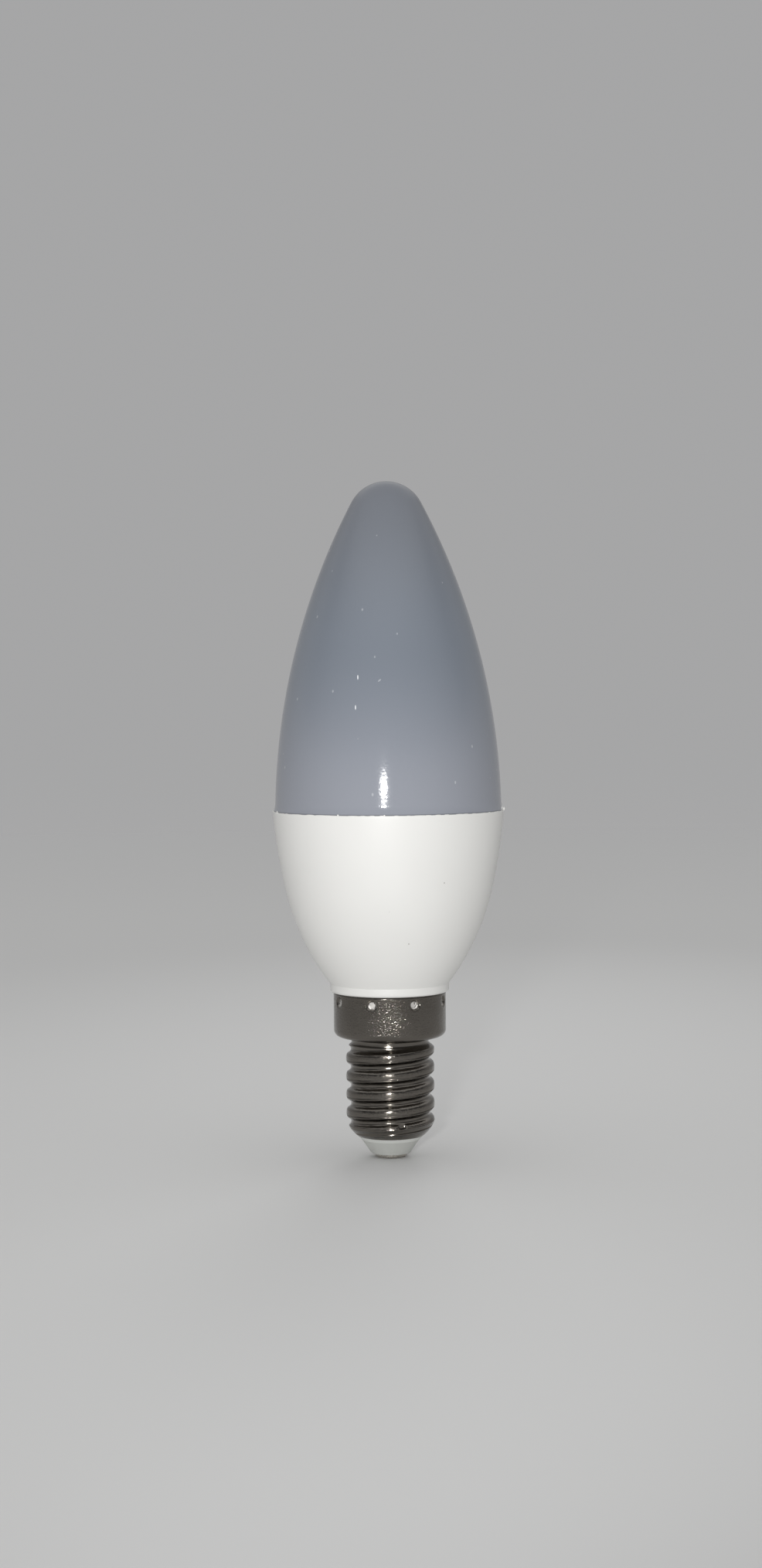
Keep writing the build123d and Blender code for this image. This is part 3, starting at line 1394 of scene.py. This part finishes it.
@dataclass
class ScrewCap(TurnedPiece):
    """Thin nickel cap with a rolled thread, a skirt, crimps and one punch mark."""

    thread: RolledThread
    crimps: CrimpPattern
    sheet: float = 0.3 * MM
    hole_r: float = 4.647 * MM
    edge_round: float = 0.25 * MM
    toe_h: float = 2.4 * MM
    toe_lean: float = math.radians(18)
    crest_r: float = 6.9 * MM
    thread_depth: float = 0.8 * MM
    thread_softness: float = 0.5 * MM
    pitch: float = 2.822 * MM
    crest_round: float = 1.0 * MM
    crest_land: float = 0.9 * MM
    start_drop: float = 0.26 * MM
    start_turn: float = math.pi
    end_gap: float = 0.05 * MM
    relief_w: float = 1.5 * MM
    relief_extra: float = 0.1 * MM
    relief_corner: float = 0.4 * MM
    skirt_h: float = 7.2 * MM
    skirt_rise: float = 0.4 * MM
    skirt_round: float = 1.1 * MM
    punch_turn: float = math.radians(-75)
    punch_rise: float = 0.15 * MM
    punch_r: float = 0.55 * MM
    punch_depth: float = 0.5 * MM
    punch_softness: float = 0.15 * MM
    punch_slope: float = 1.0
    outer_span: float = 0.12 * MM
    inner_span: float = 0.5 * MM

    node = "screw_cap"
    slot = "nickel"
    segments = 360
    sharp_angle = math.radians(65)
    outer_spans: ClassVar[int] = 7
    inner_spans: ClassVar[int] = 3
    edge_spans: ClassVar[int] = 6
    toe_factor: ClassVar[int] = 3

    @property
    def toe_z(self) -> float:
        """Height where the rounded toe meets the thread."""
        return self.sizes.floor_z + self.toe_h

    @property
    def skirt_z(self) -> float:
        """Height of the skirt's underside at the relief."""
        return self.sizes.cap_top_z - self.skirt_h

    def wall(self, span: float, spans: int) -> list[Point]:
        """Draws the outer face from the floor's hole to the skirt's top.

        Args:
            span: Longest span along the thread and across the crimps.
            spans: Number of spans in each rounded corner.

        Returns:
            The points of the face.
        """
        sizes = self.sizes
        relief_r = self.crest_r - self.thread_depth - self.relief_extra
        crimp_low_z = self.crimps.low_z(sizes)
        top_z = sizes.cap_top_z - self.edge_round
        crest_foot = (self.crest_r, self.toe_z)
        corners = (
            (crest_foot, 0.0),
            ((self.crest_r, self.skirt_z - self.relief_w), self.relief_corner),
            ((relief_r, self.skirt_z - self.relief_w / 2), self.relief_corner),
            ((relief_r, self.skirt_z), self.relief_corner),
            ((sizes.skirt_r, self.skirt_z + self.skirt_rise), self.skirt_round),
            ((sizes.skirt_r, crimp_low_z), 0.0),
            ((sizes.skirt_r, top_z), 0.0),
        )
        toe_way = (-math.sin(self.toe_lean), -math.cos(self.toe_lean))
        floor_edge = (sizes.floor_r, sizes.floor_z)
        toe = tangent_arc(crest_foot, floor_edge, toe_way, self.toe_factor * spans)
        path = [(self.hole_r, sizes.floor_z), *reversed(toe), *rounded(corners, spans)[1:]]
        path = even_rows(path, span, sizes.floor_z, self.skirt_z)
        return even_rows(path, span, crimp_low_z, top_z)

    def outline(self) -> list[Vector]:
        """Draws both faces of the sheet as a closed ring.

        Returns:
            The section's rows.
        """
        sizes = self.sizes
        top = (sizes.skirt_r - self.edge_round, sizes.cap_top_z)
        outer = self.wall(self.outer_span, self.outer_spans)
        edge = tangent_arc(outer[-1], top, (0.0, 1.0), self.edge_spans)[1:]
        inner = offset_path(self.wall(self.inner_span, self.inner_spans), self.sheet)
        inner[-1] = (sizes.skirt_r - self.sheet, sizes.cap_top_z)
        rows = solid_rows([*outer, *edge])
        rows += [Vector((radius, self.sheet, height)) for radius, height in reversed(inner)]
        return [*rows, rows[0]]

    def shape(self, piece: bpy.types.Object, finish: bpy.types.Material) -> None:
        """Rolls the thread, presses the crimps and sets the punch mark.

        Args:
            piece: The turned cap.
            finish: Material of the cap.
        """
        sag = self.crest_round - math.sqrt(self.crest_round**2 - (self.crest_land / 2) ** 2)
        rise = self.thread_depth + sag
        centres_apart = ((self.pitch / 2) ** 2 + rise**2) / (2 * rise)
        root_round = centres_apart - self.crest_round
        groove = {
            "Pitch": self.pitch,
            "Root Centre": self.crest_r - self.thread_depth + root_round,
            "Root Round": root_round,
            "Crest Centre": self.crest_r + sag - self.crest_round,
            "Crest Round": self.crest_round,
            "Lean": self.pitch / 2 / centres_apart,
            "Start Turn": self.start_turn,
            "Start Height": self.toe_z - self.start_drop,
            "End Height": self.skirt_z - self.end_gap,
            "Softness": self.thread_softness,
        }
        self.thread.put_on(piece, finish, groove)
        self.crimps.press(piece, finish, self.sizes, self.sizes.skirt_r, 0.0)
        punch = {
            "Count": 1,
            "Start Turn": self.punch_turn,
            "Height": self.toe_z + self.punch_rise,
            "Wall Radius": self.crest_r,
            "Floor Radius": self.crest_r - self.punch_depth,
            "Disc Radius": self.punch_r,
            "Growth": 0.0,
            "Slope": self.punch_slope,
            "Softness": self.punch_softness,
            "Wear And Highlight": 0.0,
        }
        self.crimps.ring.put_on(piece, finish, punch)


@dataclass
class Housing(TurnedPiece):
    """White flared body with a collar above the cap and a neck inside it."""

    crimps: CrimpPattern
    neck_r: float = 5.65 * MM
    shank_r: float = 8.35 * MM
    shank_z: float = 20.0 * MM
    wall_gap: float = 0.35 * MM
    collar_w: float = 0.5 * MM
    collar_h: float = 1.3 * MM
    collar_round: float = 0.4 * MM
    rim_r: float = 17.85 * MM
    hip_w: float = 1.77 * MM
    hip_drop: float = 11.75 * MM
    rim_taper: float = math.radians(4.7)
    rim_round: float = 0.12 * MM
    socket_r: float = 16.2 * MM
    socket_depth: float = 2.5 * MM
    pit_span: float = 0.25 * MM

    node = "housing"
    slot = "white_plastic"
    segments = 216
    flare_spans: ClassVar[int] = 24
    waist_spans: ClassVar[int] = 40
    collar_spans: ClassVar[int] = 8
    rim_spans: ClassVar[int] = 6

    def outline(self) -> list[Vector]:
        """Draws the neck, the shank, the collar, the flare and the socket.

        Returns:
            The section's rows.
        """
        sizes = self.sizes
        collar_r = sizes.skirt_r + self.collar_w
        collar_z = sizes.cap_top_z + self.collar_h
        socket_z = sizes.rim_z - self.socket_depth
        rim = (self.rim_r, sizes.rim_z)
        hip = (self.rim_r - self.hip_w, sizes.rim_z - self.hip_drop)
        rim_way = (-math.sin(self.rim_taper), -math.cos(self.rim_taper))
        flare = tangent_arc(rim, hip, rim_way, self.flare_spans)
        hip_way = Vector(flare[-1]) - Vector(flare[-2])
        waist = tangent_arc(hip, (collar_r, collar_z), tuple(hip_way), self.waist_spans)
        low = (
            ((0.0, sizes.neck_z), 0.0),
            ((self.neck_r, sizes.neck_z), 0.0),
            ((self.neck_r, self.shank_z), 0.0),
            ((self.shank_r, self.shank_z), 0.0),
            ((self.shank_r, sizes.cap_top_z), 0.0),
            ((collar_r, sizes.cap_top_z), self.collar_round),
            ((collar_r, collar_z), 0.0),
        )
        high = (
            (flare[1], 0.0),
            (rim, self.rim_round),
            ((self.socket_r, sizes.rim_z), 0.0),
            ((self.socket_r, socket_z), 0.0),
            ((0.0, socket_z), 0.0),
        )
        low_path = rounded(low, self.collar_spans)
        low_path = even_rows(low_path, self.pit_span, self.shank_z, sizes.cap_top_z)
        middle = [*reversed(waist[:-1]), *reversed(flare[2:-1])]
        return solid_rows([*low_path, *middle, *rounded(high, self.rim_spans)])

    def shape(self, piece: bpy.types.Object, finish: bpy.types.Material) -> None:
        """Presses the pits that the cap's crimps stand in."""
        self.crimps.press(piece, finish, self.sizes, self.shank_r, self.wall_gap)


@dataclass
class Diffuser(TurnedPiece):
    """Opal dome with a rounded tip, plugged into the housing."""

    plug_r: float = 16.15 * MM
    belly_drop: float = 1.2 * MM
    tip_round: float = 6.1 * MM
    flare_w: float = 0.2 * MM
    flare_h: float = 1.6 * MM

    node = "diffuser"
    slot = "opal"
    segments = 240
    flare_spans: ClassVar[int] = 10
    flank_spans: ClassVar[int] = 72
    tip_spans: ClassVar[int] = 24

    def outline(self) -> list[Vector]:
        """Draws the plug, the flared foot, the long flank and the tip.

        Returns:
            The section's rows.
        """
        sizes = self.sizes
        dome_r = sizes.flare_r - self.flare_w
        belly_z = sizes.rim_z - self.belly_drop
        tip_centre_z = sizes.tip_z - self.tip_round
        reach = tip_centre_z - belly_z
        flank = (dome_r**2 + reach**2 - self.tip_round**2) / (2 * (dome_r - self.tip_round))
        lean = math.asin(reach / (flank - self.tip_round))
        foot_z = sizes.rim_z + self.flare_h
        foot_turn = math.asin((foot_z - belly_z) / flank)
        foot = (dome_r - flank + flank * math.cos(foot_turn), foot_z)
        foot_way = (-math.sin(foot_turn), math.cos(foot_turn))
        shoulder = (self.tip_round * math.cos(lean), tip_centre_z + self.tip_round * math.sin(lean))
        shoulder_way = (-math.sin(lean), math.cos(lean))
        down = (-foot_way[0], -foot_way[1])
        flare = tangent_arc(foot, (sizes.flare_r, sizes.rim_z), down, self.flare_spans)
        path = [(0.0, sizes.plug_z), (self.plug_r, sizes.plug_z), (self.plug_r, sizes.rim_z)]
        path += reversed(flare[1:])
        path += tangent_arc(foot, shoulder, foot_way, self.flank_spans)[:-1]
        path += tangent_arc(shoulder, (0.0, sizes.tip_z), shoulder_way, self.tip_spans)
        return solid_rows(path)


@dataclass(frozen=True)
class Burr:
    """A larger bit of moulding flash.

    Attributes:
        turn: Its angle about Z.
        out: How far it stands outside the rim.
        lift: How high its middle is above the rim.
        half_size: Its reach outwards, along the rim and up.
    """

    turn: float
    out: float
    lift: float
    half_size: Triple


@dataclass
class SeamFlash:
    """Slivers of white plastic that stand up along the seam between body and dome."""

    sizes: LampSizes
    ring: FlashRing
    count: int = 64
    seed: int = 7
    inset: float = 0.1 * MM
    smallest: Triple = mm(0.04, 0.3, 0.02)
    largest: Triple = mm(0.07, 1.1, 0.07)
    burrs: tuple[Burr, ...] = (
        Burr(math.radians(-5), 0.0, 0.2 * MM, mm(0.2, 0.24, 0.28)),
        Burr(math.radians(-7), -0.2 * MM, 0.34 * MM, mm(0.07, 0.12, 0.3)),
        Burr(math.radians(179), -0.02 * MM, 0.04 * MM, mm(0.1, 0.3, 0.1)),
        Burr(math.radians(197.4), -0.06 * MM, 0.06 * MM, mm(0.09, 0.14, 0.26)),
        Burr(math.radians(245), -0.08 * MM, 0.04 * MM, mm(0.09, 0.16, 0.16)),
        Burr(math.radians(268), -0.08 * MM, 0.04 * MM, mm(0.08, 0.14, 0.12)),
    )

    def build(self, finish: bpy.types.Material) -> bpy.types.Object:
        """Scatters the slivers and sets the larger burrs.

        Args:
            finish: Material of the slivers.

        Returns:
            The finished object.
        """
        piece = new_piece("seam_flash", [])
        rim_z = self.sizes.rim_z
        slivers = {
            "Count": self.count,
            "Radius": Housing.rim_r - self.inset,
            "Height": rim_z,
            "Start Turn": 0.0,
            "Jitter": 1.0,
            "Smallest": self.smallest,
            "Largest": self.largest,
            "Seed": self.seed,
        }
        self.ring.put_on(piece, finish, slivers)
        for burr in self.burrs:
            single = {
                "Count": 1,
                "Radius": Housing.rim_r + burr.out,
                "Height": rim_z + burr.lift,
                "Start Turn": burr.turn,
                "Jitter": 0.0,
                "Smallest": burr.half_size,
                "Largest": burr.half_size,
            }
            self.ring.put_on(piece, finish, {**slivers, **single})
        set_plain_mesh(piece, SHARP_ANGLE)
        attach(piece, BODY)
        log.info("%s: %d faces", piece.name, len(piece.data.polygons))
        return piece


@dataclass(frozen=True)
class SoftLight:
    """An oval studio light.

    Attributes:
        name: Name of the light.
        place: Where it stands.
        width: Width of its face.
        height: Height of its face.
        spread: Angle over which it shines.
        watts: Its power.
        gleams: Whether shiny surfaces mirror it.
    """

    name: str
    place: Triple
    width: float
    height: float
    spread: float
    watts: float
    gleams: bool

    def build(self, aim: Triple) -> None:
        """Sets the light, hidden from the camera, and turns it to what it shines on.

        Args:
            aim: Middle of what it shines on.
        """
        lamp = bpy.data.lights.new(self.name, "AREA")
        lamp.shape = "ELLIPSE"
        lamp.size = self.width
        lamp.size_y = self.height
        lamp.spread = self.spread
        lamp.energy = self.watts
        light = bpy.data.objects.new(self.name, lamp)
        light.location = self.place
        way = Vector(aim) - Vector(self.place)
        light.rotation_euler = way.to_track_quat("-Z", "Y").to_euler()
        light.visible_camera = False
        light.visible_glossy = self.gleams
        bpy.context.scene.collection.objects.link(light)


@dataclass
class Studio:
    """Pale floor, soft surroundings, a front light, a back light and the camera.

    The surroundings are described by direction: each rise or fall gives the two values of Y or Z of
    the direction between which a colour comes in.
    """

    floor_colour: Colour = (0.68, 0.68, 0.675, 1.0)
    floor_roughness: float = 0.8
    floor_specular: float = 0.2
    floor_r: float = 9.0
    floor_sides: int = 96
    floor_drop: float = 0.02 * MM
    fade_start: float = 0.4
    fade_end: float = 5.0
    horizon: Colour = (0.38, 0.38, 0.383, 1.0)
    zenith: Colour = (0.76, 0.76, 0.76, 1.0)
    zenith_rise: Point = (0.28, 0.7)
    dim: Colour = (0.09, 0.09, 0.092, 1.0)
    dim_front: Point = (0.55, -0.05)
    dim_rise: Point = (0.08, 0.25)
    dim_fall: Point = (0.75, 0.4)
    aim: Triple = (0.0, 0.0, 0.058)
    key: SoftLight = SoftLight(
        name="key",
        place=(-0.028, -0.366, 0.081),
        width=0.024,
        height=0.009,
        spread=math.radians(50),
        watts=0.059,
        gleams=True,
    )
    fill: SoftLight = SoftLight(
        name="fill",
        place=(0.06, 0.4, 0.2),
        width=0.2,
        height=0.2,
        spread=math.radians(60),
        watts=0.06,
        gleams=False,
    )
    camera_place: Triple = (-0.001, -0.3638, 0.0705)
    camera_tilt: float = math.radians(2)
    camera_roll: float = math.radians(0.44)
    lens: float = 54.07

    def build(self) -> None:
        """Sets up the studio."""
        bpy.context.scene.view_settings.view_transform = "Standard"
        self.add_floor()
        self.add_world()
        self.key.build(self.aim)
        self.fill.build(self.aim)
        self.add_camera()
        log.info("studio is set")

    def add_floor(self) -> None:
        """Lays a round floor that fades out far from the lamp."""
        sides = self.floor_sides
        points = [Vector((0.0, 0.0, -self.floor_drop))]
        for step in range(sides):
            turn = math.tau * step / sides
            points.append(Vector((math.cos(turn), math.sin(turn), 0.0)) * self.floor_r + points[0])
        faces = [(0, 1 + step, 1 + (step + 1) % sides) for step in range(sides)]
        mesh = bpy.data.meshes.new("floor")
        mesh.from_pydata(points, [], faces)
        floor = bpy.data.objects.new("floor", mesh)
        bpy.context.scene.collection.objects.link(floor)
        mesh.materials.append(self.floor_material())

    def floor_material(self) -> bpy.types.Material:
        """Makes the floor's matt paint, which turns clear with distance.

        Returns:
            The material.
        """
        material = bpy.data.materials.new("pale_floor")
        material.use_nodes = True
        wiring = Wiring(material.node_tree)
        shader = material.node_tree.nodes["Principled BSDF"]
        shader.inputs["Base Color"].default_value = self.floor_colour
        shader.inputs["Roughness"].default_value = self.floor_roughness
        shader.inputs["Specular IOR Level"].default_value = self.floor_specular
        nearness = 1.0 / wiring.length(wiring.take("ShaderNodeTexCoord", output="Object"))
        near = wiring.ramp(nearness, 1 / self.fade_end, 1 / self.fade_start)
        wiring.feed(shader.inputs["Alpha"], near)
        return material

    def add_world(self) -> None:
        """Surrounds the lamp with pale light that is dim in a band on the camera's side."""
        world = bpy.data.worlds.new("studio")
        world.use_nodes = True
        bpy.context.scene.world = world
        wiring = Wiring(world.node_tree)
        _, y, z = wiring.split(wiring.take("ShaderNodeTexCoord", output="Generated"))
        sky = wiring.mix(wiring.ramp(z, *self.zenith_rise), self.horizon, self.zenith)
        band = wiring.ramp(z, *self.dim_rise) * wiring.ramp(z, *self.dim_fall)
        light = wiring.mix(wiring.ramp(y, *self.dim_front) * band, sky, self.dim)
        wiring.feed(world.node_tree.nodes["Background"].inputs["Color"], light)

    def add_camera(self) -> None:
        """Sets the camera level with the lamp, tilted a little down."""
        lens = bpy.data.cameras.new("camera")
        lens.lens = self.lens
        camera = bpy.data.objects.new("camera", lens)
        camera.location = self.camera_place
        camera.rotation_euler = (math.pi / 2 - self.camera_tilt, self.camera_roll, 0.0)
        bpy.context.scene.collection.objects.link(camera)
        bpy.context.scene.camera = camera


def opal_finish(sizes: LampSizes) -> OpalFinish:
    """Describes the dome's plastic, with light specks of dust and three small light marks.

    Args:
        sizes: Sizes shared by the pieces.

    Returns:
        The finish.
    """
    sliver = mm(0.11, 1.0, 0.45)
    smear = mm(0.13, 1.0, 0.36)
    return OpalFinish(
        name="opal_plastic",
        roughness=0.075,
        roughness_swing=0.03,
        grain=Grain.even(2600.0, 2.0),
        bump_depth=0.02 * MM,
        bump_strength=0.4,
        dust=Dust(
            colour=(0.85, 0.86, 0.88, 1.0),
            scale=(420.0, 420.0, 260.0),
            size=0.075,
            share=0.7,
            strength=0.28,
            marks=(
                SurfaceMark(mm(-4.41, -14.56, 74.15), sliver, 0.0, 1.0),
                SurfaceMark(mm(-4.78, -15.34, 69.69), sliver, 0.0, 1.0),
                SurfaceMark(mm(-1.2, -15.27, 73.66), smear, math.radians(-50), 0.35),
            ),
        ),
        # The grading from foot to tip is partly painted shade, darker where the light falls off towards
        # the tip.
        foot_colour=(0.3, 0.315, 0.355, 1.0),
        middle_colour=(0.215, 0.24, 0.28, 1.0),
        tip_colour=(0.185, 0.2, 0.23, 1.0),
        foot_z=sizes.rim_z,
        tip_z=sizes.tip_z,
        # Painted shade line just above the seam.
        painted_seam_shade=(0.19, 0.2, 0.22, 1.0),
        painted_seam_shade_h=0.24 * MM,
        painted_seam_shade_core_h=0.08 * MM,
    )


def dark_specks(colour: Colour, marks: tuple[SurfaceMark, ...] = ()) -> Dust:
    """Describes the few specks that moulded plastic has."""
    return Dust(colour, (330.0, 330.0, 330.0), size=0.06, share=0.06, strength=0.5, marks=marks)


def white_finish() -> MouldedFinish:
    """Describes the body's plastic.

    Returns:
        The finish.
    """
    fleck = mm(0.13, 0.5, 0.15)
    marks = (
        SurfaceMark(mm(8.22, -14.19, 43.49), fleck, 0.0, 0.6),
        SurfaceMark(mm(2.88, -13.24, 34.32), fleck, 0.0, 0.6),
    )
    return MouldedFinish(
        name="satin_white_plastic",
        roughness=0.42,
        roughness_swing=0.05,
        grain=Grain.even(2600.0, 3.0),
        bump_depth=0.02 * MM,
        bump_strength=0.25,
        dust=dark_specks((0.3, 0.28, 0.25, 1.0), marks),
        colour=(0.83, 0.825, 0.8, 1.0),
        shade=(0.79, 0.785, 0.76, 1.0),
    )


def insulator_finish(sizes: LampSizes) -> BandedFinish:
    """Describes the insulator's plastic.

    Args:
        sizes: Sizes shared by the pieces.

    Returns:
        The finish.
    """
    return BandedFinish(
        name="insulator_plastic",
        roughness=0.5,
        roughness_swing=0.05,
        grain=Grain.even(3000.0, 3.0),
        bump_depth=0.02 * MM,
        bump_strength=0.3,
        dust=dark_specks((0.3, 0.3, 0.28, 1.0)),
        colour=(0.62, 0.63, 0.6, 1.0),
        shade=(0.56, 0.57, 0.54, 1.0),
        band_colour=(0.74, 0.75, 0.72, 1.0),
        band_z=sizes.floor_z - 0.7 * MM,
        band_edge=0.2 * MM,
    )


def nickel_finish(sizes: LampSizes) -> PlatedFinish:
    """Describes the cap's plating, darker than nickel's own colour as painted shade.

    Args:
        sizes: Sizes shared by the pieces.

    Returns:
        The finish.
    """
    pitch = ScrewCap.pitch
    return PlatedFinish(
        name="bright_nickel",
        roughness=0.11,
        roughness_swing=0.05,
        grain=Grain.even(4400.0, 2.0),
        bump_depth=0.03 * MM,
        bump_strength=1.0,
        # Painted shade: colour and tarnish are far darker than nickel's own, standing in for the dark
        # surroundings the cap mirrors.
        colour=(0.19, 0.175, 0.156, 1.0),
        tarnish=(0.14, 0.128, 0.113, 1.0),
        pit_low_z=sizes.cap_top_z - 6.6 * MM,
        pit_high_z=sizes.cap_top_z - 0.2 * MM,
        crest_low_r=6.2 * MM,
        crest_high_r=7.4 * MM,
        pit_fade=0.4 * MM,
        crest_share=0.35,
        smooth_share=0.12,
        lines=Grain((120.0, 120.0, 7000.0), 2.0),
        line_roughness=0.04,
        line_share=1.1,
        # Light dent floors: partly bared metal, partly a painted highlight.
        struck_and_highlight_colour=(0.82, 0.8, 0.77, 1.0),
        struck_roughness=0.55,
        ridges=(
            RidgeLine(pitch, 5.0 * MM, 0.35 * MM, 3.4 * MM, 5.9 * MM, 5.8),
            RidgeLine(pitch, 4.1 * MM, 0.4 * MM, 3.2 * MM, 5.2 * MM, 13.3),
            RidgeLine(pitch, 4.15 * MM, 0.35 * MM, 5.0 * MM, 17.0 * MM, 7.0),
        ),
    )


def contact_finish() -> MetalFinish:
    """Describes the centre contact's metal.

    Returns:
        The finish.
    """
    return MetalFinish(
        name="contact_metal",
        roughness=0.32,
        roughness_swing=0.08,
        grain=Grain.even(2400.0, 2.0),
        bump_depth=0.008 * MM,
        bump_strength=0.4,
        colour=(0.62, 0.6, 0.56, 1.0),
        tarnish=(0.5, 0.47, 0.42, 1.0),
    )


def make_finishes(sizes: LampSizes) -> dict[str, bpy.types.Material]:
    """Makes the material of each slot.

    Args:
        sizes: Sizes shared by the pieces.

    Returns:
        The materials by the name of their slot.
    """
    kit = ShaderKit(FineGrain(), Specks(), Mark())
    finishes = {
        Diffuser.slot: opal_finish(sizes),
        Housing.slot: white_finish(),
        ScrewCap.slot: nickel_finish(sizes),
        Insulator.slot: insulator_finish(sizes),
        CentreContact.slot: contact_finish(),
    }
    return {slot: finish.material(kit) for slot, finish in finishes.items()}


def main() -> None:
    """Builds the pieces, dresses them and sets the studio."""
    logging.basicConfig(level=logging.INFO, format="%(name)s: %(message)s")
    sizes = LampSizes.read()
    finishes = make_finishes(sizes)
    lathe = Lathe()
    crimps = CrimpPattern(DentRing())
    pieces = (
        CentreContact(sizes, lathe),
        Insulator(sizes, lathe),
        ScrewCap(sizes, lathe, RolledThread(), crimps),
        Housing(sizes, lathe, crimps),
        Diffuser(sizes, lathe),
    )
    for piece in pieces:
        piece.build(finishes[piece.slot])
    SeamFlash(sizes, FlashRing()).build(finishes[Housing.slot])
    Studio().build()


if __name__ == "__main__":
    main()
